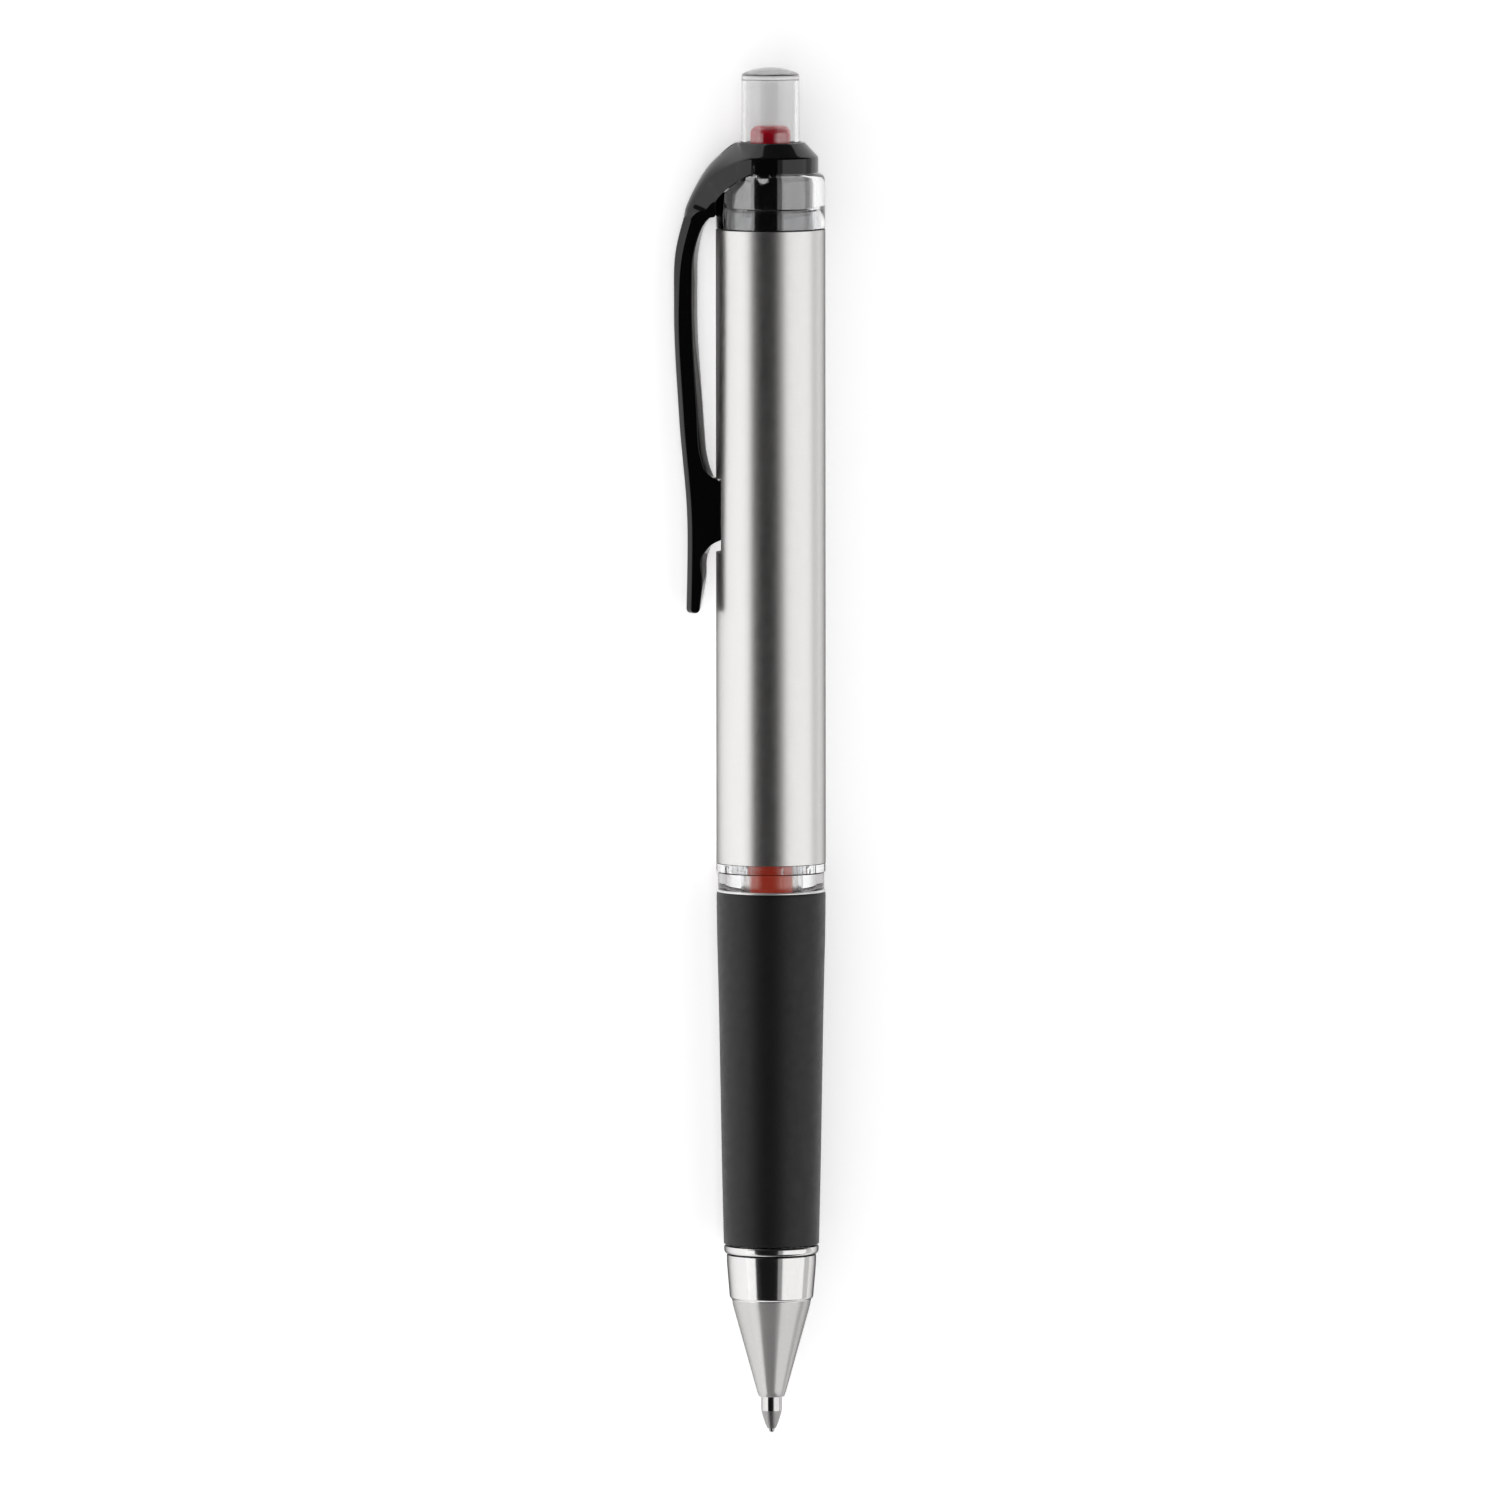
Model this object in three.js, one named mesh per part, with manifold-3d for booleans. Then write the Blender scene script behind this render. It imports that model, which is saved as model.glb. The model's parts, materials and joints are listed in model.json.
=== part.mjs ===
// A retractable gel pen lying on a desk, with its point out. Millimetres, +Z up.
//
// Lengths along the pen are stations: 0 at the top of the button, rising towards the ball.
// In the pen's own frame the axis is X and the clip stands out towards -Y. The whole pen is
// then rolled about X, so that it lies on its sleeve and its clip.

import Module from "manifold-3d";
import * as THREE from "three";
import { mergeVertices } from "three/addons/utils/BufferGeometryUtils.js";

const wasm = await Module();
wasm.setup();

// Driving dimensions
const PEN_END = 148; // station of the ball's tip
const ORIGIN_STATION = 74; // the sleeve rests on the desk here
const BODY_RADIUS = 5.94;
const CLICK_TRAVEL = 5; // button stroke between point out and point in
const THREAD_LEAD = 2;

const BUTTON_RADIUS = 3.17;
const BUTTON_BORE = 2.4;
const BUTTON_END = 26.5; // tips of the cam teeth
const COLLAR_TOP = 8.1;
const COLLAR_BORE = 3.35;
const SKIRT_RADIUS = 4.6;
const SKIRT_END = 17.5; // the button's splines stop here when it comes up
const NECK_TOP = 11.75;
const NECK_END = 17.85;
const SLEEVE_END = 86.25;
const SLEEVE_BORE = 5.5;
const LINER_START = 15.6;
const LINER_RADIUS = 5.2;
const LINER_BORE = 4.45;
const LINER_END = 87.45;
const GRIP_START = 89.55;
const GRIP_END = 127.6;
const FRONT_BORE = 3.3;
const NOSE_START = 129.0;
const NOSE_END = 144.05;
const REFILL_START = 37;
const REFILL_RADIUS = 2.95;
const TUBE_BORE = 2.35;
const SPRING_START = 127.9;
const SPRING_END = 137.1;

// Clip: [station, height above the pen's axis] along its back
const CLIP_BACK = [
  [8.2, 4.1],
  [10.8, 6.84],
  [14.7, 9.0],
  [19.9, 10.3],
  [25.5, 10.47],
  [38, 9.92],
  [49, 9.06],
  [58.97, 9.17],
];
// The clip's underside, from the top of the foot back to the arch over the barrel
const CLIP_UNDERSIDE = [
  [44.1, 6.08],
  [41.9, 6.89],
  [37, 7.5],
  [29.5, 7.88],
  [23.4, 7.77],
  [18.8, 7.32],
  [16.2, 6.4],
];
// The lower edge of the clip's flared root, which the clear neck is cut away to meet
const ROOT_EDGE = [
  [14.6, 6.1],
  [13.1, 4.85],
  [12.1, 3.6],
  [11.4, 2.0],
];
const CLIP_END = 58.97;
const FOOT_START = 44.7;
const FOOT_END = 51.15;
const FOOT_HEIGHT = 5.43; // the foot's face, above the axis, inside the sleeve's window
const FLEX_STATION = 16.5; // where the clip bends
const FLEX_GAP = 0.35;
const ROOT_HALF_WIDTH = 5.4;
const ARM_HALF_WIDTH = 2.0;

// The pen rolls this far below level before its clip comes down to the desk
const ROLL = THREE.MathUtils.degToRad(25);

const BODY_SIDES = 36;
const CORE_SIDES = 20;
const WELD = 1e-4;
const AXIS_HEIGHT = BODY_RADIUS * Math.cos(Math.PI / BODY_SIDES);

// Solids and surfaces

function solid(geometry) {
  geometry.deleteAttribute("normal");
  geometry.deleteAttribute("uv");
  const merged = mergeVertices(geometry, WELD);
  const index = merged.index.array;
  const triangles = [];
  for (let i = 0; i < index.length; i += 3) {
    const [a, b, c] = [index[i], index[i + 1], index[i + 2]];
    if (a !== b && b !== c && c !== a) {
      triangles.push(a, b, c);
    }
  }
  return new wasm.Manifold(
    new wasm.Mesh({
      numProp: 3,
      vertProperties: new Float32Array(merged.getAttribute("position").array),
      triVerts: new Uint32Array(triangles),
    }),
  );
}

function surface(body) {
  const mesh = body.getMesh();
  const geometry = new THREE.BufferGeometry();
  geometry.setAttribute("position", new THREE.BufferAttribute(mesh.vertProperties, 3));
  geometry.setIndex(new THREE.BufferAttribute(mesh.triVerts, 1));
  return geometry;
}

// A piece turned about the pen's axis. The section lists [station, radius] and closes on itself.
// One side of the polygon always faces straight down once the pen is rolled.
function turned(section, sides = BODY_SIDES) {
  const points = section.map(([station, radius]) => new THREE.Vector2(radius, station));
  if (THREE.ShapeUtils.area(points) < 0) {
    points.reverse();
  }
  points.push(points[0].clone());
  const geometry = new THREE.LatheGeometry(points, sides, Math.PI - ROLL + Math.PI / sides);
  geometry.rotateZ(-Math.PI / 2);
  return solid(geometry);
}

function cylinder(start, end, radius, sides) {
  const section = [
    [start, 0],
    [start, radius],
    [end, radius],
    [end, 0],
  ];
  return turned(section, sides);
}

function tube(start, end, radius, bore, sides) {
  const section = [
    [start, bore],
    [start, radius],
    [end, radius],
    [end, bore],
  ];
  return turned(section, sides);
}

function block(start, end, depth, height, centre = 0) {
  const geometry = new THREE.BoxGeometry(end - start, depth, height);
  geometry.translate((start + end) / 2, centre, 0);
  return solid(geometry);
}

// Copies of a small outline round the pen, each pushed out along a radius from inner to outer.
// The outline lists [station, distance round the pen].
function spokes(count, firstAngle, outline, inner, outer) {
  const shape = new THREE.Shape(outline.map(([station, round]) => new THREE.Vector2(station, round)));
  const bodies = [];
  for (let i = 0; i < count; i += 1) {
    const geometry = new THREE.ExtrudeGeometry(shape, { depth: outer - inner, bevelEnabled: false });
    geometry.translate(0, 0, inner);
    geometry.rotateX(firstAngle + (i * 2 * Math.PI) / count);
    bodies.push(solid(geometry));
  }
  return bodies;
}

function joined(first, others) {
  return others.reduce((body, other) => body.add(other), first);
}

function cut(first, others) {
  return others.reduce((body, other) => body.subtract(other), first);
}

class Helix extends THREE.Curve {
  constructor(radius, start, end, lead) {
    super();
    this.radius = radius;
    this.start = start;
    this.end = end;
    this.lead = lead;
  }

  getPoint(t, target = new THREE.Vector3()) {
    const along = (this.end - this.start) * t;
    const angle = (2 * Math.PI * along) / this.lead;
    return target.set(
      this.start + along,
      this.radius * Math.cos(angle),
      this.radius * Math.sin(angle),
    );
  }
}

// A round wire, bead or groove that follows a helix
function coil(helix, wireRadius, stepsPerTurn) {
  const turns = (helix.end - helix.start) / helix.lead;
  const shape = new THREE.Shape();
  shape.absarc(0, 0, wireRadius, 0, 2 * Math.PI);
  const geometry = new THREE.ExtrudeGeometry(shape, {
    steps: Math.round(turns * stepsPerTurn),
    curveSegments: 3,
    extrudePath: helix,
  });
  return solid(geometry);
}

// Clip

function toVector([station, height]) {
  return new THREE.Vector2(station, -height);
}

function sidePlate(shape, halfWidth) {
  const geometry = new THREE.ExtrudeGeometry(shape, {
    depth: 2 * halfWidth,
    bevelEnabled: false,
    curveSegments: 3,
  });
  geometry.translate(0, 0, -halfWidth);
  return solid(geometry);
}

function clipOutline() {
  const tailCorner = 0.55;
  const outline = new THREE.Shape();
  outline.moveTo(CLIP_BACK[0][0], -CLIP_BACK[0][1]);
  outline.splineThru(CLIP_BACK.slice(1, -1).map(toVector));
  outline.lineTo(CLIP_END - tailCorner, -9.17);
  outline.quadraticCurveTo(CLIP_END, -9.17, CLIP_END, -8.6);
  outline.lineTo(CLIP_END, -8.1);
  outline.quadraticCurveTo(CLIP_END, -7.55, CLIP_END - tailCorner, -7.5);
  outline.quadraticCurveTo(55.3, -7.05, 52.6, -6.95);
  outline.quadraticCurveTo(FOOT_END + 0.3, -6.4, FOOT_END, -FOOT_HEIGHT);
  outline.lineTo(FOOT_START, -FOOT_HEIGHT);
  outline.lineTo(CLIP_UNDERSIDE[0][0], -CLIP_UNDERSIDE[0][1]);
  outline.splineThru(CLIP_UNDERSIDE.slice(1).map(toVector));
  outline.lineTo(ROOT_EDGE[0][0], -ROOT_EDGE[0][1]);
  outline.splineThru(ROOT_EDGE.slice(1).map(toVector));
  outline.lineTo(CLIP_BACK[0][0], -ROOT_EDGE.at(-1)[1]);
  return outline;
}

// Half the clip's width: as wide as the collar at the root, then a slim arm
function clipHalfWidth(station) {
  const { smoothstep } = THREE.MathUtils;
  const top = 2.2 * (1 - smoothstep(station, COLLAR_TOP, 11.4));
  const narrowing = (ROOT_HALF_WIDTH - ARM_HALF_WIDTH) * smoothstep(station, 10.8, 18.5);
  const taper = 0.25 * smoothstep(station, 18.5, CLIP_END);
  return ROOT_HALF_WIDTH - top - narrowing - taper;
}

// The clip's rounded back: a bar whose section is an ellipse at the root and turns into a
// rounded rectangle along the arm
function clipHood() {
  const samples = new THREE.SplineCurve(CLIP_BACK.map(toVector)).getPoints(26);
  const steps = samples.length - 1;
  const geometry = new THREE.CylinderGeometry(1, 1, 1, 24, steps);
  const position = geometry.getAttribute("position");
  for (let i = 0; i < position.count; i += 1) {
    const sample = samples[Math.round((0.5 - position.getY(i)) * steps)];
    const squareness = THREE.MathUtils.lerp(2, 8, THREE.MathUtils.smoothstep(sample.x, 12, 20));
    const [across, up] = [position.getX(i), position.getZ(i)];
    const reach = (value) =>
      Math.abs(value) < WELD ? 0 : Math.sign(value) * Math.abs(value) ** (2 / squareness);
    position.setXYZ(
      i,
      sample.x,
      reach(up) * (sample.y - 0.1),
      reach(across) * clipHalfWidth(sample.x),
    );
  }
  return solid(geometry);
}

const wholeClip = clipHood().intersect(sidePlate(clipOutline(), ROOT_HALF_WIDTH));
const clipArm = wholeClip.intersect(block(FLEX_STATION + FLEX_GAP / 2, CLIP_END + 1, 30, 30));
const clipRoot = wholeClip.intersect(block(0, FLEX_STATION - FLEX_GAP / 2, 30, 30));

// Click mechanism

const SLOT_ANGLE = Math.PI / 4;
const SPLINE_COUNT = 4;
const TEETH = 8;

// One saw tooth cut into the end of a ring at the given station, deepening towards -X or +X
function sawNotch(station, depth, radius) {
  const pitch = (2 * Math.PI * radius) / TEETH;
  return [
    [station, -pitch / 2],
    [station, pitch / 2],
    [station + depth, pitch / 2],
  ];
}

function pushButton() {
  const body = turned(
    [
      [0, 0],
      [0.16, 1.5],
      [0.42, 2.5],
      [0.72, 3.0],
      [1.1, BUTTON_RADIUS - 0.07],
      [8, BUTTON_RADIUS],
      [BUTTON_END, BUTTON_RADIUS],
      [BUTTON_END, BUTTON_BORE],
      [1.25, BUTTON_BORE],
      [1.25, 0],
    ],
    CORE_SIDES,
  );
  const splineTop = SKIRT_END + CLICK_TRAVEL + 0.1;
  const spline = [
    [splineTop, -0.65],
    [splineTop, 0.65],
    [BUTTON_END - 0.9, 0.65],
    [BUTTON_END - 0.9, -0.65],
  ];
  const crowned = cut(body, spokes(TEETH, SLOT_ANGLE, sawNotch(BUTTON_END + 0.05, -0.9, 3), 2, 4));
  return joined(crowned, spokes(SPLINE_COUNT, SLOT_ANGLE, spline, 2.8, 3.75));
}

function camRotor() {
  const crownTop = BUTTON_END + 0.4;
  const body = turned(
    [
      [6.32, 0],
      [6.32, 1.65],
      [6.47, 2.0],
      [6.82, 2.15],
      [crownTop, 2.15],
      [crownTop, 3.05],
      [29, 3.05],
      [29.6, 2.6],
      [REFILL_START - 0.3, 2.6],
      [REFILL_START - 0.3, 0],
    ],
    CORE_SIDES,
  );
  const fin = [
    [crownTop + 1, -0.6],
    [crownTop + 1.7, 0.6],
    [31.2, 0.6],
    [31.2, -0.6],
  ];
  const crowned = cut(body, spokes(TEETH, 0, sawNotch(crownTop - 0.05, 0.9, 3), 2.3, 4));
  return joined(crowned, spokes(SPLINE_COUNT, 0, fin, 2.2, 3.2));
}

function camGuide() {
  const [start, ribEnd, end, bore] = [SKIRT_END + 0.4, 26.9, 36, 4.0];
  const body = turned([
    [start, 3.42],
    [start, SKIRT_RADIUS],
    [end, SKIRT_RADIUS],
    [end, bore],
    [ribEnd, bore],
    [ribEnd, 3.42],
  ]);
  const slot = [
    [start - 1, -0.85],
    [start - 1, 0.85],
    [ribEnd + 0.5, 0.85],
    [ribEnd + 0.5, -0.85],
  ];
  const slotted = cut(body, spokes(SPLINE_COUNT, SLOT_ANGLE, slot, 2.5, 3.95));
  return cut(slotted, spokes(TEETH, 0, sawNotch(ribEnd + 0.05, -1, 3.4), 2.5, 3.9));
}

// Rear section

function clipCollar() {
  const collar = turned([
    [COLLAR_TOP, COLLAR_BORE],
    [COLLAR_TOP, 3.65],
    [9.6, 5.2],
    [11.35, 5.2],
    [11.35, SKIRT_RADIUS],
    [SKIRT_END, SKIRT_RADIUS],
    [SKIRT_END, COLLAR_BORE],
  ]);
  return collar.add(clipRoot).subtract(cylinder(COLLAR_TOP - 1, SKIRT_END + 1, COLLAR_BORE));
}

function clearNeck() {
  const [bore, counterbore, step] = [4.75, SLEEVE_BORE, LINER_START - 0.3];
  const ring = turned([
    [NECK_TOP, bore],
    [NECK_TOP, 5.1],
    [NECK_TOP + 0.2, 5.6],
    [12.4, BODY_RADIUS],
    [NECK_END, BODY_RADIUS],
    [NECK_END, counterbore],
    [step, counterbore],
    [step, bore],
  ]);
  // the scallop that the clip's root drops into
  const clearance = 0.24;
  const scallop = new THREE.Shape();
  scallop.moveTo(16.6, -20);
  scallop.lineTo(16.6, -6.0);
  scallop.lineTo(ROOT_EDGE[0][0] + clearance, clearance - ROOT_EDGE[0][1]);
  scallop.splineThru(
    ROOT_EDGE.slice(1).map(([station, height]) => toVector([station + clearance, height - clearance])),
  );
  scallop.lineTo(NECK_TOP - 1, clearance - ROOT_EDGE.at(-1)[1]);
  scallop.lineTo(NECK_TOP - 1, -20);
  // a small half-round key notch in the rim, beside the clip on both sides
  const notches = [-1, 1].map((side) => {
    const geometry = new THREE.CylinderGeometry(0.65, 0.65, 4, 12);
    geometry.rotateX(Math.PI / 2);
    geometry.translate(NECK_TOP + 0.45, 0, side * (BODY_RADIUS - 0.5));
    geometry.rotateX(side * 0.12);
    return solid(geometry);
  });
  return cut(ring.subtract(sidePlate(scallop, BODY_RADIUS + 1)), notches);
}

function barrelSleeve() {
  const sleeve = tube(NECK_END + 0.15, SLEEVE_END, BODY_RADIUS, SLEEVE_BORE);
  const [start, end, halfWidth] = [44.2, 52.4, 2.5];
  return sleeve.subtract(block(start, end, 4, 2 * halfWidth, -BODY_RADIUS));
}

function barrelLiner() {
  const body = turned([
    [LINER_START, 4.75],
    [LINER_START, LINER_RADIUS],
    [SLEEVE_END + 0.15, LINER_RADIUS],
    [SLEEVE_END + 0.15, 5.92],
    [LINER_END, 5.92],
    [LINER_END, LINER_BORE],
    [36.3, LINER_BORE],
    [36.3, 4.75],
  ]);
  return body.subtract(coil(new Helix(4.3, 79.2, 89.2, THREAD_LEAD), 0.45, 16));
}

// Front section, which unscrews

function frontBarrel() {
  const [threadStart, neckRadius, seat, spigotEnd] = [78.6, 4.3, 4.45, 132.7];
  const body = turned([
    [threadStart, FRONT_BORE],
    [threadStart, neckRadius],
    [LINER_END + 0.2, neckRadius],
    [LINER_END + 0.2, 5.76],
    [89.1, 5.76],
    [89.2, 5.87],
    [89.4, 5.87],
    [89.4, seat],
    [GRIP_END - 0.3, seat],
    [GRIP_END - 0.3, 3.95],
    [spigotEnd, 3.95],
    [spigotEnd, FRONT_BORE],
  ]);
  return body.add(coil(new Helix(4.3, 79.2, 85.2, THREAD_LEAD), 0.3, 16));
}

function rubberGrip() {
  return turned([
    [GRIP_START, 4.7],
    [GRIP_START, 5.85],
    [GRIP_START + 0.2, 5.93],
    [94, 5.85],
    [100.4, 5.69],
    [110, 5.51],
    [120, 5.33],
    [127.2, 5.17],
    [GRIP_END, 5.0],
    [GRIP_END, 4.7],
  ]);
}

function noseRing() {
  return turned([
    [127.75, 4.2],
    [127.75, 4.95],
    [127.95, 5.07],
    [128.6, 5.05],
    [128.85, 4.9],
    [128.85, 4.2],
  ]);
}

function noseCone() {
  return turned([
    [NOSE_START, 4.2],
    [NOSE_START, 4.83],
    [130, 4.83],
    [133.2, 4.6],
    [133.55, 4.27],
    [134.7, 4.04],
    [143.7, 1.52],
    [NOSE_END, 1.4],
    [NOSE_END, 1.25],
    [142.5, 1.3],
    [137.4, 1.95],
    [137.4, 2.75],
    [136.6, 2.75],
    [135.2, 3.2],
    [133, 3.2],
    [133, 4.2],
  ]);
}

function returnSpring() {
  return coil(new Helix(2.35, SPRING_START + 0.25, SPRING_END - 0.25, 1.16), 0.22, 14);
}

// Refill

function refillEndPlug() {
  return turned(
    [
      [REFILL_START, 0.5],
      [REFILL_START, 2.7],
      [REFILL_START + 0.25, REFILL_RADIUS],
      [REFILL_START + 0.9, REFILL_RADIUS],
      [REFILL_START + 0.9, TUBE_BORE - 0.12],
      [REFILL_START + 5, TUBE_BORE - 0.12],
      [REFILL_START + 5, 0.5],
    ],
    CORE_SIDES,
  );
}

function tipHolder() {
  return turned(
    [
      [122.2, 0.6],
      [122.2, TUBE_BORE - 0.12],
      [126.1, TUBE_BORE - 0.12],
      [126.1, REFILL_RADIUS],
      [127.4, REFILL_RADIUS],
      [127.6, 1.7],
      [137.6, 1.7],
      [139, 1.5],
      [139, 1.22],
      [136.2, 1.22],
      [136.2, 0.6],
    ],
    CORE_SIDES,
  );
}

function pointShell() {
  return turned(
    [
      [136.5, 0.45],
      [136.5, 1.1],
      [145.6, 1.1],
      [146.3, 0.88],
      [147, 0.69],
      [PEN_END - 0.5, 0.5],
      [PEN_END - 0.5, 0.43],
      [147, 0.43],
    ],
    CORE_SIDES,
  );
}

function writingBall() {
  const radius = 0.36;
  const geometry = new THREE.SphereGeometry(radius, 12, 8);
  geometry.rotateZ(Math.PI / 2);
  geometry.translate(PEN_END - radius, 0, 0);
  return solid(geometry);
}

// Materials and assembly

function material(color, roughness, metalness = 0, opacity = 1) {
  return new THREE.MeshStandardMaterial({
    color,
    roughness,
    metalness,
    opacity,
    transparent: opacity < 1,
  });
}

const pieces = {
  push_button: [pushButton(), material("#cfd0d0", 0.08, 0, 0.45)],
  cam_rotor: [camRotor(), material("#a3141f", 0.35)],
  cam_guide: [camGuide(), material("#161616", 0.4)],
  clip_collar: [clipCollar(), material("#111111", 0.12)],
  clip_arm: [clipArm, material("#111111", 0.12)],
  clear_neck: [clearNeck(), material("#e6e9ea", 0.05, 0, 0.3)],
  barrel_sleeve: [barrelSleeve(), material("#c9c7c2", 0.32, 1)],
  barrel_liner: [barrelLiner(), material("#e4e7e8", 0.08, 0, 0.3)],
  front_barrel: [frontBarrel(), material("#e4e7e8", 0.08, 0, 0.3)],
  rubber_grip: [rubberGrip(), material("#1c1b1a", 0.75)],
  nose_ring: [noseRing(), material("#d9d9d9", 0.1, 1)],
  nose_cone: [noseCone(), material("#cfcecb", 0.2, 1)],
  return_spring: [returnSpring(), material("#b9babb", 0.25, 1)],
  refill_tube: [tube(38, 126, REFILL_RADIUS, TUBE_BORE, CORE_SIDES), material("#dfe2e2", 0.15, 0, 0.4)],
  ink_column: [cylinder(50.3, 121.9, TUBE_BORE - 0.12, CORE_SIDES), material("#7d0f12", 0.3)],
  ink_follower: [cylinder(46.5, 50, TUBE_BORE - 0.12, CORE_SIDES), material("#d8cfa8", 0.3)],
  refill_end_plug: [refillEndPlug(), material("#ececec", 0.4)],
  tip_holder: [tipHolder(), material("#e6e4df", 0.35)],
  point_shell: [pointShell(), material("#c4c4c2", 0.18, 1)],
  writing_ball: [writingBall(), material("#8d8d8f", 0.15, 1)],
};

const pen = new THREE.Group();
pen.rotation.x = ROLL;
pen.position.set(-ORIGIN_STATION, 0, AXIS_HEIGHT);
for (const [name, [body, finish]] of Object.entries(pieces)) {
  const mesh = new THREE.Mesh(surface(body), finish);
  mesh.name = name;
  pen.add(mesh);
}

const group = new THREE.Group();
group.add(pen);

export default group;
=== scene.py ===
import json
import math

import bmesh
import bpy
import numpy as np
from mathutils import Matrix, Quaternion, Vector


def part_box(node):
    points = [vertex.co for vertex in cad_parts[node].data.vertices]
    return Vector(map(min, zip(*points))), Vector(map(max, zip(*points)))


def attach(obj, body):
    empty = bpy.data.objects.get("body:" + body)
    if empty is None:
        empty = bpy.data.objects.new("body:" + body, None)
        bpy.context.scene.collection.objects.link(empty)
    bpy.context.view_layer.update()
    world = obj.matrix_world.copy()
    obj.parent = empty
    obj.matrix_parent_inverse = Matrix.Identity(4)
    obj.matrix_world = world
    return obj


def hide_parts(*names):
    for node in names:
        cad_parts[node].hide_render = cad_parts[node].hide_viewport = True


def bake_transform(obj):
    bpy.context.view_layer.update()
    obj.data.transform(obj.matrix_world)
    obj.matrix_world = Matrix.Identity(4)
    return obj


# A retractable gel pen lying on a pale desk, in metres.
#
# The sections below are written in millimetres in the pen's own terms: a station is the
# distance from the top of the button towards the ball, a radius is measured from the pen's
# axis, and clip pieces also use "out", the height above the axis towards the clip, and
# "side", the distance from the clip's middle plane.

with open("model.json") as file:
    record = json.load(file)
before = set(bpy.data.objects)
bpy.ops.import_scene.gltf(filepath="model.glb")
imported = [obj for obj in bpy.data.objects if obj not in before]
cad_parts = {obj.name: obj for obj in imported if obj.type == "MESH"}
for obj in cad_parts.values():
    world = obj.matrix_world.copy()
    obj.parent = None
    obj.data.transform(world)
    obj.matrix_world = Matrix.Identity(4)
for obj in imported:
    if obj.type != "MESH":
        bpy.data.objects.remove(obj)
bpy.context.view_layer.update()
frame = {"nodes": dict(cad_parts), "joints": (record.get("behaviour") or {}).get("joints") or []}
scene = bpy.context.scene

# Frame

MM = 0.001
ORIGIN_STATION = 74
joints = {joint["name"]: joint for joint in frame["joints"]}
AXIS_HEIGHT = joints["front_unscrew"]["pos_m"][2]
lean = joints["clip_flex"]["axis"]
ROLL = math.atan2(lean[1], -lean[2])
PEN = Matrix.Translation((0, 0, AXIS_HEIGHT)) @ Matrix.Rotation(ROLL, 4, "X")
BODY_RADIUS = AXIS_HEIGHT / MM - 0.002  # the round body just touches the desk


def at(station, out=0.0, side=0.0):
    """A point of the pen in the row frame."""
    return PEN @ Vector(((station - ORIGIN_STATION) * MM, -out * MM, side * MM))


def span(node):
    """The stations between which a CAD node lies."""
    low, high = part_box(node)
    return low.x / MM + ORIGIN_STATION, high.x / MM + ORIGIN_STATION


# Camera

CAMERA_TILT = math.radians(4.4)  # towards the button
CAMERA_TWIST = math.radians(-0.055)
CAMERA_DISTANCE = 2.6
LENS = 577.4
SENSOR_WIDTH = 36
TARGET_STATION = ORIGIN_STATION - 0.13  # the picture's centre, which lies off the axis
TARGET_OUT = 2.27


def make_camera():
    data = bpy.data.cameras.new("camera")
    data.lens = LENS
    data.sensor_width = SENSOR_WIDTH
    data.clip_start = 0.1
    data.clip_end = 20
    camera = bpy.data.objects.new("camera", data)
    scene.collection.objects.link(camera)
    back = Vector((
        -math.sin(CAMERA_TILT),
        -math.sin(ROLL) * math.cos(CAMERA_TILT),
        math.cos(ROLL) * math.cos(CAMERA_TILT),
    ))
    across = Vector((-1, 0, 0)).cross(back).normalized()
    up = back.cross(across)
    turn = Matrix((across, up, back)).transposed().to_quaternion()
    camera.rotation_mode = "QUATERNION"
    camera.rotation_quaternion = turn @ Quaternion((0, 0, 1), CAMERA_TWIST)
    camera.location = at(TARGET_STATION, out=TARGET_OUT) + back * CAMERA_DISTANCE
    scene.camera = camera


make_camera()

# Materials


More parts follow.
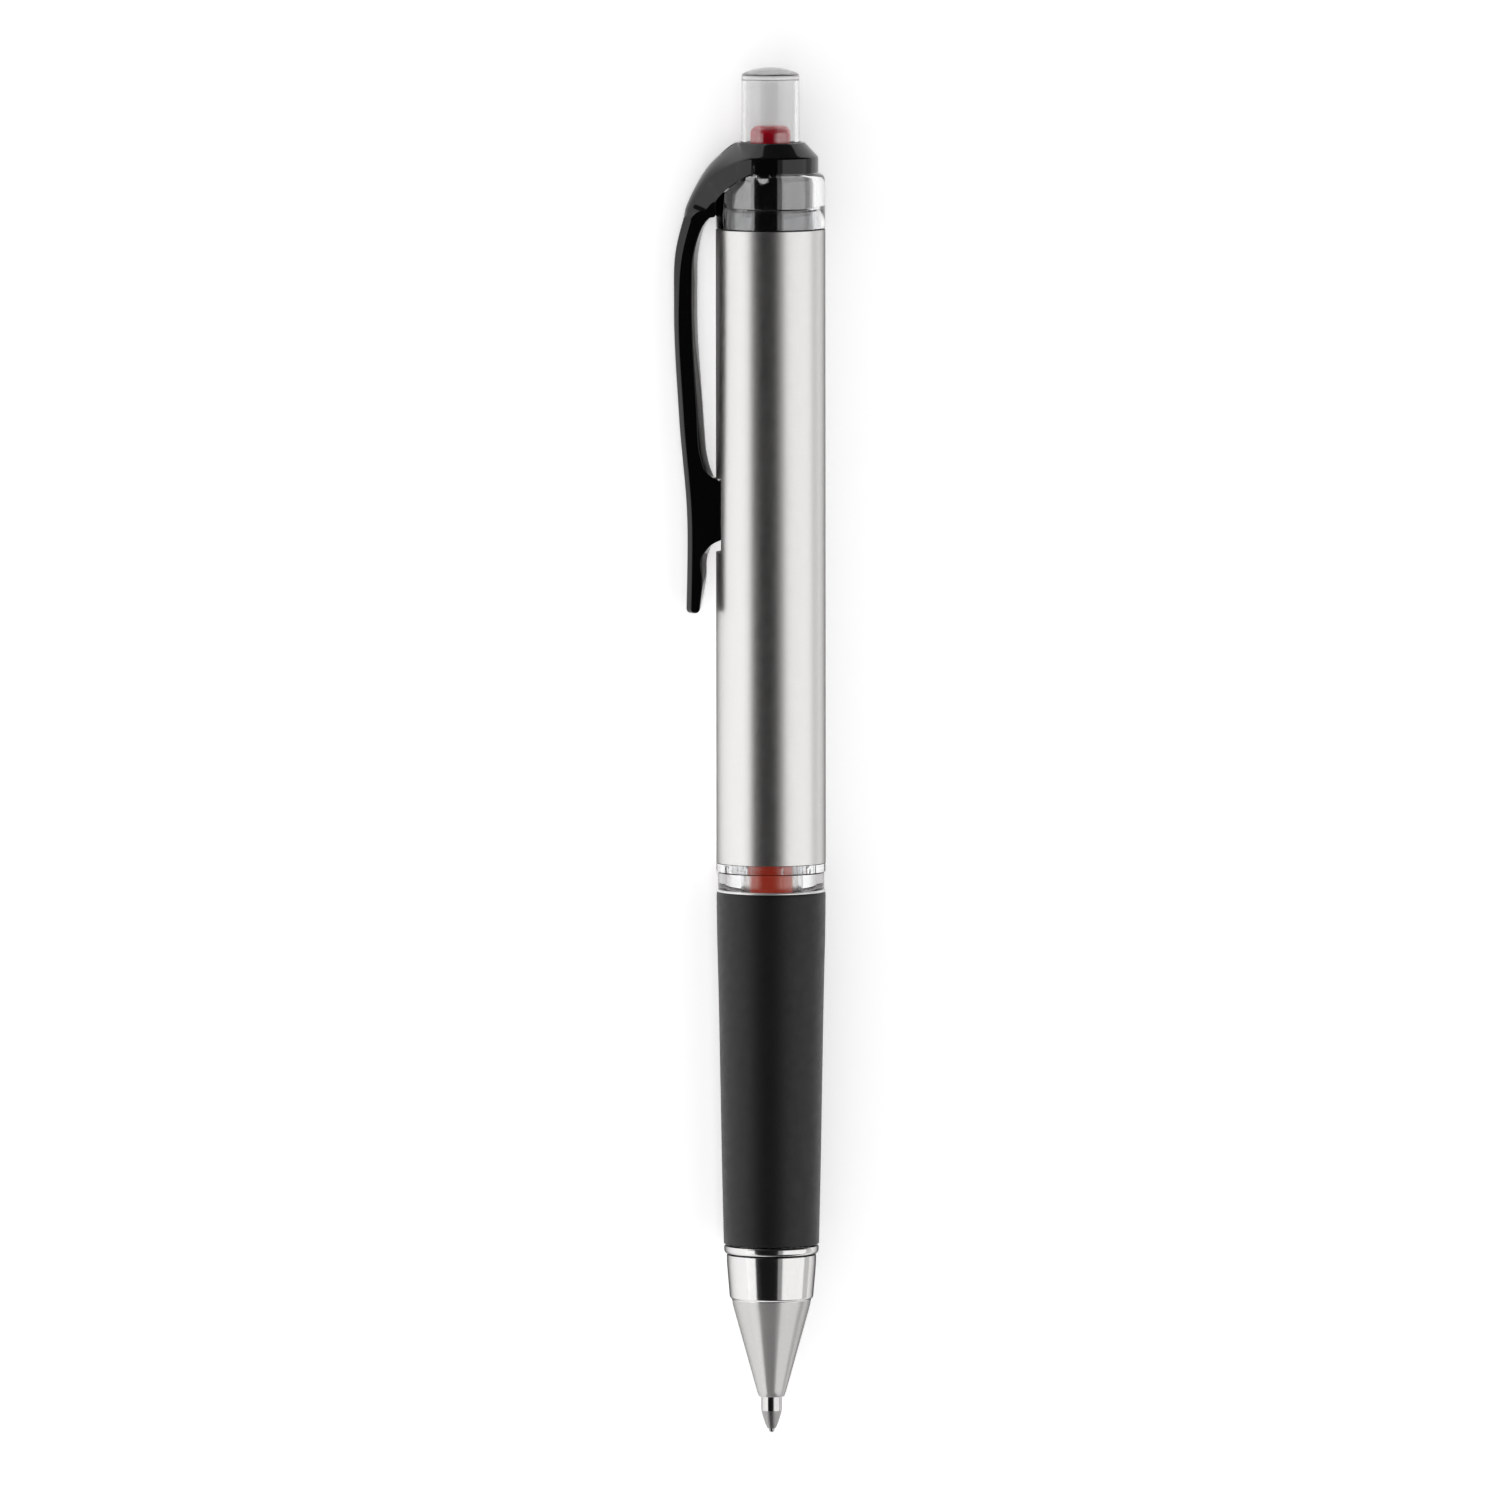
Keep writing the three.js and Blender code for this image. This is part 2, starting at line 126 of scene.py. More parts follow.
def finish(name, colour, roughness, variation=0.06, grain=4.0, stretch=(1, 1, 1), bump=0.02,
           roughness_range=0.03, depth=0.02, **sockets):
    """A Principled material with a fine noise, at grain waves per millimetre, in its colour,
    roughness and bump. Stretch below 1 draws the noise out along that axis."""
    material = bpy.data.materials.new(name)
    material.use_nodes = True
    tree = material.node_tree
    shader = tree.nodes["Principled BSDF"]
    for socket, value in sockets.items():
        shader.inputs[socket.replace("_", " ")].default_value = value
    coordinates = tree.nodes.new("ShaderNodeTexCoord")
    mapping = tree.nodes.new("ShaderNodeMapping")
    mapping.inputs["Scale"].default_value = [grain * share / MM for share in stretch]
    noise = tree.nodes.new("ShaderNodeTexNoise")
    noise.inputs["Scale"].default_value = 1
    noise.inputs["Detail"].default_value = 4
    broad = tree.nodes.new("ShaderNodeTexNoise")
    broad.inputs["Scale"].default_value = 0.08
    broad.inputs["Detail"].default_value = 2
    tree.links.new(coordinates.outputs["Object"], mapping.inputs["Vector"])
    for texture in (noise, broad):
        tree.links.new(mapping.outputs["Vector"], texture.inputs["Vector"])

    ramp = tree.nodes.new("ShaderNodeValToRGB")
    dark = [channel * (1 - variation) for channel in colour]
    light = [min(1, channel * (1 + variation)) for channel in colour]
    ramp.color_ramp.elements[0].position = 0.3
    ramp.color_ramp.elements[1].position = 0.7
    ramp.color_ramp.elements[0].color = (*dark, 1)
    ramp.color_ramp.elements[1].color = (*light, 1)
    tree.links.new(noise.outputs["Fac"], ramp.inputs["Fac"])
    tree.links.new(ramp.outputs["Color"], shader.inputs["Base Color"])

    spread = tree.nodes.new("ShaderNodeMapRange")
    spread.inputs["From Min"].default_value = 0.3
    spread.inputs["From Max"].default_value = 0.7
    spread.inputs["To Min"].default_value = max(0.0, roughness - roughness_range)
    spread.inputs["To Max"].default_value = roughness + roughness_range
    tree.links.new(broad.outputs["Fac"], spread.inputs["Value"])
    tree.links.new(spread.outputs["Result"], shader.inputs["Roughness"])

    if bump:
        relief = tree.nodes.new("ShaderNodeBump")
        relief.inputs["Strength"].default_value = bump
        relief.inputs["Distance"].default_value = depth * MM
        tree.links.new(noise.outputs["Fac"], relief.inputs["Height"])
        tree.links.new(relief.outputs["Normal"], shader.inputs["Normal"])
    return material


SATIN_METAL = finish("satin metal", (0.80, 0.79, 0.775), 0.32, variation=0.03, grain=14,
                     bump=0.08, depth=0.01, roughness_range=0.02, Metallic=1,
                     Specular_Tint=(0.12, 0.12, 0.12, 1))
BLACK_PLASTIC = finish("black gloss plastic", (0.0018, 0.0018, 0.0018), 0.07, grain=1.2, bump=0.03,
                       roughness_range=0.02)
DARK_MIRROR = finish("dark mirror plastic", (0.28, 0.28, 0.275), 0.05, grain=1.5, bump=0.02,
                     roughness_range=0.02, Metallic=1)
CLEAR_PLASTIC = finish("clear plastic", (0.92, 0.925, 0.93), 0.02, variation=0.01, grain=0.8,
                       bump=0.04, roughness_range=0.015, Transmission_Weight=1, IOR=1.49)
BUTTON_PLASTIC = finish("clear button plastic", (0.84, 0.84, 0.84), 0.06, variation=0.01, grain=0.8,
                        bump=0.03, roughness_range=0.02, Transmission_Weight=1, IOR=1.49)
# The red plastic's emission is a painted glow. It brightens the rotor seen through the clear
# button, where little light reaches it.
RED_PLASTIC_PAINTED_GLOW = finish("red plastic with painted glow", (0.85, 0.0, 0.02), 0.12, grain=1.5, bump=0.02, IOR=2.7,
                     Emission_Color=(0.2, 0.0, 0.006, 1), Emission_Strength=0.5)
GUIDE_PLASTIC = finish("guide plastic", (0.012, 0.012, 0.012), 0.35, grain=3, bump=0.1)
RUBBER = finish("grip rubber", (0.0022, 0.0021, 0.002), 0.5, variation=0.15, grain=11, bump=0.5,
                depth=0.02, roughness_range=0.04, Sheen_Weight=0.02)
POLISHED_METAL = finish("polished metal", (0.78, 0.775, 0.765), 0.12, variation=0.02, grain=2,
                        bump=0.03, roughness_range=0.02, Metallic=1,
                        Specular_Tint=(0.08, 0.08, 0.08, 1))
CONE_METAL = finish("satin nose metal", (0.6, 0.595, 0.585), 0.2, variation=0.04, grain=9,
                    stretch=(0.3, 1, 1), bump=0.12, depth=0.01, Metallic=0.7,
                    Specular_Tint=(0.1, 0.1, 0.1, 1))
POINT_STEEL = finish("point steel", (0.7, 0.695, 0.69), 0.1, variation=0.03, grain=5, bump=0.05,
                     Metallic=1, Specular_Tint=(0.1, 0.1, 0.1, 1))
POINT_TIP_STEEL = finish("drawn point steel", (0.4, 0.395, 0.39), 0.42, variation=0.05, grain=8,
                         bump=0.2, Metallic=1)
BALL_METAL = finish("ball metal", (0.5, 0.5, 0.5), 0.15, grain=8, bump=0.05, Metallic=1)
SPRING_STEEL = finish("spring steel", (0.6, 0.59, 0.57), 0.2, grain=6, stretch=(1, 0.4, 0.4),
                      bump=0.1, Metallic=1)
TUBE_PLASTIC = finish("refill tube plastic", (0.95, 0.93, 0.91), 0.12, variation=0.01, grain=1,
                      bump=0.02, Transmission_Weight=0.92, IOR=1.48,
                      Specular_Tint=(1, 0.74, 0.52, 1))
# The ink's emission is a painted glow. It brightens the ink seen through the clear barrel and the
# refill tube.
INK_PAINTED_GLOW = finish("red ink with painted glow", (0.42, 0.03, 0.012), 0.15, variation=0.15, grain=0.8, bump=0.02,
             Emission_Color=(0.34, 0.028, 0.012, 1), Emission_Strength=0.85)
GREASE = finish("follower grease", (0.62, 0.56, 0.34), 0.2, grain=1, bump=0.02)
WHITE_PLASTIC = finish("white plastic", (0.78, 0.78, 0.76), 0.35, grain=2, bump=0.05)
# The button cap's darker grey tint is painted shade. It stands in for the darkness that the thick
# dome gets from refraction.
BUTTON_CAP_PAINTED_SHADE = finish("button cap plastic with painted shade", (0.4, 0.4, 0.4), 0.12, variation=0.02, grain=0.8,
                    bump=0.03, Transmission_Weight=1, IOR=1.49)
LIP_METAL = finish("lip silver", (0.8, 0.8, 0.79), 0.3, variation=0.04, grain=3, bump=0.08,
                   Metallic=0.8)
FROSTED_PLASTIC = finish("frosted key plastic", (0.62, 0.62, 0.62), 0.2, variation=0.25, grain=2.5,
                         bump=0.3, Transmission_Weight=0.3, IOR=1.49)

# Meshes

SIDES = 192  # round a turned piece
WELD = 1e-7  # metres
SHARP = math.radians(38)  # a sharper edge than this isn't smoothed over


def smooth(mesh):
    mesh.shade_smooth()
    mesh.set_sharp_from_angle(angle=SHARP)


def even_shading(made):
    modifier = made.modifiers.new("even shading", "WEIGHTED_NORMAL")
    modifier.keep_sharp = True


def piece(name, points, faces, material):
    """A mesh object from points given as station, out and side."""
    mesh = bpy.data.meshes.new(name)
    mesh.from_pydata([at(*point) for point in points], [], faces)
    work = bmesh.new()
    work.from_mesh(mesh)
    bmesh.ops.remove_doubles(work, verts=work.verts, dist=WELD)
    bmesh.ops.dissolve_degenerate(work, edges=work.edges, dist=WELD)
    bmesh.ops.recalc_face_normals(work, faces=work.faces)
    work.to_mesh(mesh)
    work.free()
    smooth(mesh)
    mesh.materials.append(material)
    made = bpy.data.objects.new(name, mesh)
    scene.collection.objects.link(made)
    even_shading(made)
    return made


def bend(start, corner, end, steps=5):
    """Points of the curve that rounds a corner, from start to end."""
    points = []
    for i in range(steps + 1):
        t = i / steps
        points.append(start * (1 - t) ** 2 + corner * 2 * t * (1 - t) + end * t ** 2)
    return points


def rounded(corners, edge=0.04):
    """The outline through corners given as station, radius and how far the rounding of that
    corner reaches. An outline that starts and ends off the axis closes on itself."""
    spots = [Vector(corner[:2]) for corner in corners]
    reaches = [corner[2] if len(corner) > 2 else edge for corner in corners]
    closed = spots[0].y > 0 and spots[-1].y > 0
    outline = []
    for i, (spot, reach) in enumerate(zip(spots, reaches)):
        if reach == 0 or (not closed and i in (0, len(spots) - 1)):
            outline.append(spot)
            continue
        before, after = spots[i - 1] - spot, spots[(i + 1) % len(spots)] - spot
        reach = min(reach, 0.45 * before.length, 0.45 * after.length)
        outline += bend(spot + before.normalized() * reach, spot, spot + after.normalized() * reach)
    return [(point.x, point.y) for point in outline]


def turned(name, section, material, sides=SIDES, warp=None):
    """A piece turned about the pen's axis. Warp may move a point, given its station, radius
    and angle from the clip."""
    points, rings, faces = [], [], []
    for station, radius in section:
        count = sides if radius > 0 else 1
        rings.append(range(len(points), len(points) + count))
        for k in range(count):
            angle = 2 * math.pi * k / sides
            s, r = warp(station, radius, angle) if warp else (station, radius)
            points.append((s, r * math.cos(angle), r * math.sin(angle)))
    for a, b in zip(rings, rings[1:] + rings[:1]):
        if len(a) == len(b) == 1:
            continue
        for k in range(sides):
            n = (k + 1) % sides
            corners = [a[k % len(a)], a[n % len(a)], b[n % len(b)], b[k % len(b)]]
            faces.append(list(dict.fromkeys(corners)))
    return piece(name, points, faces, material)


def through(knots, value):
    """A smooth curve through knots, each a number and a value, at that number."""
    knots = [(number, np.asarray(spot, float)) for number, spot in knots]
    slopes = []
    for i in range(len(knots)):
        near = knots[max(i - 1, 0):i + 2]
        if len(near) < 3:
            slopes.append((near[1][1] - near[0][1]) / (near[1][0] - near[0][0]))
            continue
        (u0, p0), (u1, p1), (u2, p2) = near
        before, after = (p1 - p0) / (u1 - u0), (p2 - p1) / (u2 - u1)
        slopes.append((after * (u1 - u0) + before * (u2 - u1)) / (u2 - u0))
    i = min(max(sum(number <= value for number, _ in knots) - 1, 0), len(knots) - 2)
    (u0, p0), (u1, p1) = knots[i], knots[i + 1]
    width = u1 - u0
    t = min(max((value - u0) / width, 0), 1)
    return (p0 * (1 + 2 * t) * (1 - t) ** 2 + slopes[i] * width * t * (1 - t) ** 2
            + p1 * t * t * (3 - 2 * t) - slopes[i + 1] * width * t * t * (1 - t))


def carve(target, cutter, operation="DIFFERENCE"):
    """Cuts one piece with another, which is used up."""
    target.modifiers.clear()
    modifier = target.modifiers.new("carve", "BOOLEAN")
    modifier.object = cutter
    modifier.operation = operation
    modifier.solver = "EXACT"
    bpy.context.view_layer.update()
    result = target.evaluated_get(bpy.context.evaluated_depsgraph_get())
    target.data = bpy.data.meshes.new_from_object(result)
    target.modifiers.clear()
    bpy.data.objects.remove(cutter)
    smooth(target.data)
    even_shading(target)


def paint(target, first_station, last_station, material):
    """Gives the faces between two stations a material of their own."""
    target.data.materials.append(material)
    number = len(target.data.materials) - 1
    for face in target.data.polygons:
        if first_station < face.center.x / MM + ORIGIN_STATION < last_station:
            face.material_index = number


def belongs(made, body, slot, *nodes):
    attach(made, body)
    if nodes:
        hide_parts(*nodes)


# Clip and collar: one moulding

COLLAR_TOP = 8.1
COLLAR_BORE = 3.38
RIM_RADIUS = 3.72
SHOULDER_STATION, COLLAR_RADIUS = 9.68, 5.2
COLLAR_END = 11.35
HORN_ANGLE = 69  # degrees from the clip, where the clip's root leaves the round collar
CLIP_END = span("clip_arm")[1]
ARM_START = 16.25

CLIP_BACK = [
    (14.7, 9.0), (19.9, 10.3), (25.5, 10.47), (38, 9.92), (49, 9.06), (55, 9.08), (58.97, 9.17),
]
CLIP_UNDERSIDE = [
    (16.25, 6.4), (16.8, 6.87), (17.5, 7.2), (18.8, 7.55), (20, 7.76), (23.4, 7.87), (29.5, 7.8),
    (33.5, 7.52), (37, 7.27), (39.5, 7.1), (41.9, 6.85), (43.5, 6.42), (44.3, 6.0), (44.65, 5.55),
    (44.9, 5.43), (51.0, 5.43), (51.4, 6.1), (52.3, 6.62), (55.3, 6.95), (58.97, 7.62),
]
# How far the rounded back edge and the crowned underside reach over the clip's side
BACK_EDGE = [(16.25, 0.92), (19.3, 0.84), (23.4, 0.6), (37, 0.52), (58.97, 0.52)]
UNDER_EDGE = [(16.25, 0.25), (17.5, 0.32), (20, 0.52), (29.5, 0.6), (37, 0.7), (42.5, 0.7),
              (43.8, 0.55), (44.5, 0.04), (51.3, 0.04), (52.4, 0.52), (56, 0.35), (58.97, 0.1)]
UNDER_HOLLOW = 0.15  # how far the arm's underside is rounded: a little, so it slopes evenly
TAIL_ROUNDING = 0.55  # the length over which the arm's tail is rounded off

# The root between the collar and the arm: crest, shoulder edge, side edge and lower edge,
# each as station, out and side, and how far the crest is rounded over
ROOT = [
    ((8.1, 3.34, 1.48), (9.68, 2.5, 4.57), (11.43, 2.32, 4.69), (11.45, 2.3, 4.7), 0),
    ((8.1, 3.62, 0.5), (9.9, 3.15, 4.22), (11.7, 2.87, 4.51), (11.72, 2.85, 4.52), 0.2),
    ((8.3, 4.1, 0), (10.25, 4.05, 3.62), (12.12, 3.63, 4.23), (12.15, 3.6, 4.25), 0.5),
    ((9.3, 5.35, 0), (10.78, 5.06, 2.95), (12.81, 4.54, 3.73), (12.85, 4.5, 3.75), 0.8),
    ((10.6, 6.68, 0), (11.5, 6.14, 2.35), (13.49, 5.31, 3.09), (13.55, 5.25, 3.12), 1),
    ((11.8, 7.52, 0), (12.4, 6.97, 1.92), (14.15, 5.93, 2.72), (14.3, 5.8, 2.75), 1),
    ((13.4, 8.4, 0), (13.8, 7.82, 1.57), (14.75, 6.55, 2.42), (15.2, 5.86, 2.45), 1),
    ((14.5, 8.91, 0), (14.8, 8.32, 1.44), (15.3, 7.05, 2.22), (15.85, 5.9, 2.3), 1),
]


def rib(crest, shoulder, side_top, lower, under, crown, hollow):
    """Half of one section of the clip, as the corners that the section runs through."""
    crest, shoulder, side_top, lower, under = (
        np.array(spot, float) for spot in (crest, shoulder, side_top, lower, under))
    crest_bend = (crest + shoulder) / 2 * (1 - crown) + crown * np.array(
        [*(crest * 0.6 + shoulder * 0.4)[:1], crest[1], crest[2] + 0.7 * (shoulder[2] - crest[2])])
    under_bend = (lower + under) / 2 * (1 - hollow) + hollow * np.array(
        [under[0], under[1], 0.62 * lower[2]])
    return np.array([[crest[0], crest[1], 0], crest, crest_bend, shoulder, side_top, lower,
                     under_bend, under])


def collar_rib(angle):
    out, side = math.cos(angle), math.sin(angle)
    shoulder = (SHOULDER_STATION, COLLAR_RADIUS * out, COLLAR_RADIUS * side)
    lower = (COLLAR_END, *shoulder[1:])
    crest = (COLLAR_TOP, RIM_RADIUS * out, RIM_RADIUS * side)
    return rib(crest, shoulder, lower, lower, (COLLAR_END, lower[1], 0), 0, 0)


def root_rib(crest, shoulder, side_top, lower, crown):
    return rib(crest, shoulder, side_top, lower, (lower[0], lower[1], 0), crown, 0)


def arm_rib(station):
    back, under, edge, crown = (
        float(through(knots, station))
        for knots in (CLIP_BACK, CLIP_UNDERSIDE, BACK_EDGE, UNDER_EDGE))
    half = 2.0 - 0.25 * (station - ARM_START) / (CLIP_END - ARM_START)
    tail = max(0, (station - CLIP_END + TAIL_ROUNDING) / TAIL_ROUNDING)
    shrink = 0.42 * (1 - math.sqrt(max(0, 1 - tail * tail)))
    back, under, half = back - shrink, under + shrink, half - shrink
    shoulder = (station, back - 0.06, half - 0.62)
    return rib((station, back, 0), shoulder, (station, back - edge, half),
               (station, under + crown, half), (station, under, 0), 1, UNDER_HOLLOW)


def rib_line(corners):
    """The points of half a section, with its corners rounded."""
    top, crest, crest_bend, shoulder, side_top, lower, under_bend, under = corners
    back = bend(crest, crest_bend, shoulder, 6)
    floor = bend(lower, under_bend, under, 6)
    corner_line = [top, *back, side_top, *floor]
    reaches = {1: 0.1, 7: 0.22, 8: 0.14, 9: 0.1}
    line = []
    for i, spot in enumerate(corner_line):
        if i not in reaches:
            line.append(spot)
            continue
        before, after = corner_line[i - 1] - spot, corner_line[i + 1] - spot
        lengths = [float(np.linalg.norm(before)), float(np.linalg.norm(after))]
        reach = min(reaches[i], 0.45 * min(lengths))
        if reach < 1e-4:
            line += [spot] * 6
            continue
        line += bend(spot + before / lengths[0] * reach, spot, spot + after / lengths[1] * reach)
    return line


def clip_ribs():
    round_part = [collar_rib(math.radians(angle)) for angle in range(180, HORN_ANGLE - 1, -3)]
    arm_root = rib((15.2, 9.18, 0), (15.45, 8.58, 1.4), (15.6, 7.85, 2.02), (16.1, 6.1, 2.15),
                   (16.12, 5.97, 0), 1, 0.3)
    knots = [round_part[-2], round_part[-1], *(root_rib(*row) for row in ROOT), arm_root,
             arm_rib(ARM_START), arm_rib(ARM_START + 0.5)]
    numbers = [0.0]
    for a, b in zip(knots, knots[1:]):
        numbers.append(numbers[-1] + float(np.linalg.norm(b - a, axis=1).mean()))
    numbered = list(zip(numbers, knots))
    root_part = []
    for a, b in zip(numbers[1:-2], numbers[2:-1]):
        root_part += [through(numbered, a + (b - a) * (i + 1) / 6) for i in range(6)]
    fine = [*np.arange(43.2, 45.4, 0.1), *np.arange(50.6, 52.9, 0.1)]
    tail = [CLIP_END - TAIL_ROUNDING * (1 - math.sin(math.pi / 2 * i / 6)) for i in range(7)]
    even = [s for s in np.arange(ARM_START + 0.4, CLIP_END - 0.6, 0.5)
            if not (43.1 < s < 45.4 or 50.5 < s < 52.9)]
    return [*round_part, *root_part, *(arm_rib(s) for s in sorted([*fine, *tail, *even]))]


def make_clip():
    lines = [rib_line(corners) for corners in clip_ribs()]
    columns = len(lines[0])
    points, faces = [], []
    for mirror in (1, -1):
        start = len(points)
        points += [(spot[0], spot[1], spot[2] * mirror) for line in lines for spot in line]
        for i in range(len(lines) - 1):
            for k in range(columns - 1):
                a = start + i * columns + k
                faces.append([a, a + 1, a + columns + 1, a + columns])
    last = (len(lines) - 1) * columns
    half = len(points) // 2
    faces.append([*range(last, last + columns),
                  *reversed(range(half + last, half + last + columns))])
    clip = piece("clip_and_collar", points, faces, BLACK_PLASTIC)
    bore = turned("bore", [(7, 0), (7, COLLAR_BORE), (19, COLLAR_BORE), (19, 0)], BLACK_PLASTIC)
    carve(clip, bore)
    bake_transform(clip)
    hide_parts("clip_collar", "clip_arm")


make_clip()

# Rear section: skirt, clear neck, sleeve and liner

SKIRT_RADIUS = 4.6
# How far edges lie from the CAD's, towards the button, after a comparison with the photograph
NECK_SHIFT = 0.32
EDGE_RISE = 0.5
SLEEVE_TRIM = 0.22
TONGUE_START, TONGUE_HALF = 13.4, 2.5  # the black tongue under the clip's root
KEY_RADIUS, KEY_OUT = 0.68, 0.79  # the key in each of the neck's two notches
RING_LINE = 86.98  # the station where the two clear rings meet


def make_skirt():
    skirt = turned("collar_skirt", rounded([
        (COLLAR_END - 0.8, COLLAR_BORE - 0.03), (COLLAR_END - 0.8, SKIRT_RADIUS),
        (19, SKIRT_RADIUS), (19, 4.1), (17.3, 4.1), (17.3, COLLAR_BORE - 0.03),
    ]), DARK_MIRROR)
    belongs(skirt, "barrel", "black_plastic")


def extruded(name, outline, low, high, material):
    """A flat outline of station and out, reaching from side low to side high."""
    count = len(outline)
    points = [(s, out, side) for side in (low, high) for s, out in outline]
    faces = [list(range(count)), list(range(2 * count - 1, count - 1, -1))]
    faces += [[k, (k + 1) % count, count + (k + 1) % count, count + k] for k in range(count)]
    return piece(name, points, faces, material)


def make_neck():
    start, end = span("clear_neck")
    start -= NECK_SHIFT
    end -= EDGE_RISE
    bore, counterbore, step = 4.75, 5.5, 15.3
    neck = turned("clear_neck_ring", rounded([
        (start, bore), (start, 5.3, 0.1), (start + 0.22, 5.75, 0.2),
        (start + 0.75, BODY_RADIUS, 0.3), (15.0, BODY_RADIUS, 0),
        (15.02, BODY_RADIUS - 0.015, 0), (15.04, BODY_RADIUS, 0),
        (end, BODY_RADIUS), (end, counterbore), (step, counterbore), (step, bore),
    ]), CLEAR_PLASTIC)
    gap = 0.07
    lower_edge = [(row[3][0] + gap, row[3][1] - gap) for row in ROOT[:6]]
    scallop = [(10, 1.7), (11.45, 1.7), *lower_edge, (16.6, 5.86), (16.6, 20), (10, 20)]
    carve(neck, extruded("scallop", scallop, -7, 7, CLEAR_PLASTIC))
    slot = [(TONGUE_START - 0.1, 1), (20, 1), (20, 8), (TONGUE_START - 0.1, 8)]
    carve(neck, extruded("slot", slot, -TONGUE_HALF - 0.05, TONGUE_HALF + 0.05, CLEAR_PLASTIC))
    tongue = turned("clip_tongue", rounded([
        (TONGUE_START, bore), (TONGUE_START, BODY_RADIUS - 0.01), (end, BODY_RADIUS - 0.01),
        (end, counterbore), (step, counterbore), (step, bore),
    ]), BLACK_PLASTIC)
    carve(tongue, extruded("sector", slot, -TONGUE_HALF, TONGUE_HALF, BLACK_PLASTIC), "INTERSECT")
    belongs(tongue, "barrel", "black_plastic")
    key_station = start + 0.35
    turns = [math.pi * k / 12 for k in range(13)]
    notch = [(key_station + KEY_RADIUS * math.sin(a), KEY_OUT + KEY_RADIUS * math.cos(a))
             for a in turns]
    notch += [(start - 1, KEY_OUT - KEY_RADIUS), (start - 1, KEY_OUT + KEY_RADIUS)]
    carve(neck, extruded("notch", notch, 4.2, 7, CLEAR_PLASTIC))
    carve(neck, extruded("notch", notch, -7, -4.2, CLEAR_PLASTIC))
    belongs(neck, "barrel", "smoky_clear_plastic", "clear_neck")

    for mirror, name in ((1, "neck_key_near"), (-1, "neck_key_far")):
        rows = [(4.68, 0.6), (5.55, 0.6), (5.72, 0.52), (5.78, 0.3), (5.8, 0)]
        points = [(key_station + r * math.sin(t), KEY_OUT + r * math.cos(t), side * mirror)
                  for side, r in rows for t in turns]
        width = len(turns)
        faces = [[i * width + k, i * width + k + 1, (i + 1) * width + k + 1, (i + 1) * width + k]
                 for i in range(len(rows) - 1) for k in range(width - 1)]
        faces += [list(range(width)), [i * width for i in range(len(rows))]
                  + [i * width + width - 1 for i in range(len(rows) - 2, -1, -1)]]
        key = piece(name, points, faces, FROSTED_PLASTIC)
        belongs(key, "barrel", "smoky_clear_plastic")


def make_sleeve():
    start, end = span("barrel_sleeve")
    start -= EDGE_RISE
    end -= SLEEVE_TRIM
    bore = 5.5
    window_start, window_end, window_angle = 44.4, 52.4, math.radians(24.5)
    sleeve = turned("metal_sleeve", rounded([
        (start, bore), (start, BODY_RADIUS, 0.05), (window_start, BODY_RADIUS, 0),
        (window_end, BODY_RADIUS, 0), (end, BODY_RADIUS, 0.05), (end, bore),
        (window_end, bore, 0), (window_start, bore, 0),
    ]), SATIN_METAL)
    work = bmesh.new()
    work.from_mesh(sleeve.data)
    home = PEN.inverted()
    opened = []
    for face in work.faces:
        spot = home @ face.calc_center_median()
        angle = math.atan2(spot.z, -spot.y)
        if (abs(angle) < window_angle
                and window_start < spot.x / MM + ORIGIN_STATION < window_end):
            opened.append(face)
    bmesh.ops.delete(work, geom=opened, context="FACES")
    bmesh.ops.bridge_loops(work, edges=[edge for edge in work.edges if edge.is_boundary])
    bmesh.ops.recalc_face_normals(work, faces=work.faces)
    work.to_mesh(sleeve.data)
    work.free()
    smooth(sleeve.data)
    belongs(sleeve, "barrel", "satin_metal", "barrel_sleeve")


FLUTE_ANGLES = [-43, -9.4, 26, 54, 84, 117, 150, 183, 216, 249, 282]  # from straight up
FLUTE_WIDTH = 3.4


def make_liner():
    start, end = span("barrel_liner")[0], RING_LINE
    flange, bore, radius = span("barrel_sleeve")[1] - SLEEVE_TRIM + 0.04, 4.45, 5.2

    def flutes(station, r, angle):
        if station < flange + 0.1 or r < 5.5:
            return station, r
        turn = 90 - math.degrees(angle)
        away = min(abs((turn - flute + 180) % 360 - 180) for flute in FLUTE_ANGLES)
        dip = max(0, 1 - (away / FLUTE_WIDTH) ** 2)
        return station, r - 0.14 * dip

    liner = turned("clear_liner", rounded([
        (start, 4.75), (start, radius), (flange, radius, 0), (flange, BODY_RADIUS, 0.03),
        (flange + 0.2, BODY_RADIUS, 0), (end - 0.2, BODY_RADIUS, 0),
        (end, BODY_RADIUS - 0.03, 0.06), (end, bore), (36.3, bore), (36.3, 4.75),
    ]), CLEAR_PLASTIC, sides=540, warp=flutes)
    belongs(liner, "barrel", "clear_plastic", "barrel_liner")


make_skirt()
make_neck()
make_sleeve()
make_liner()

# Button and click mechanism

TEETH = 8
SPLINES = 4


def crown_teeth(last_station, depth, reach, direction, first_angle=0.0):
    """A warp that cuts saw teeth into the end of a tube."""

    def warp(station, radius, angle):
        nearness = 1 - abs(station - last_station) / reach
        if nearness <= 0 or radius < 1:
            return station, radius
        share = (TEETH * (angle - first_angle) / (2 * math.pi)) % 1
        return station - direction * depth * share * nearness, radius

    return warp


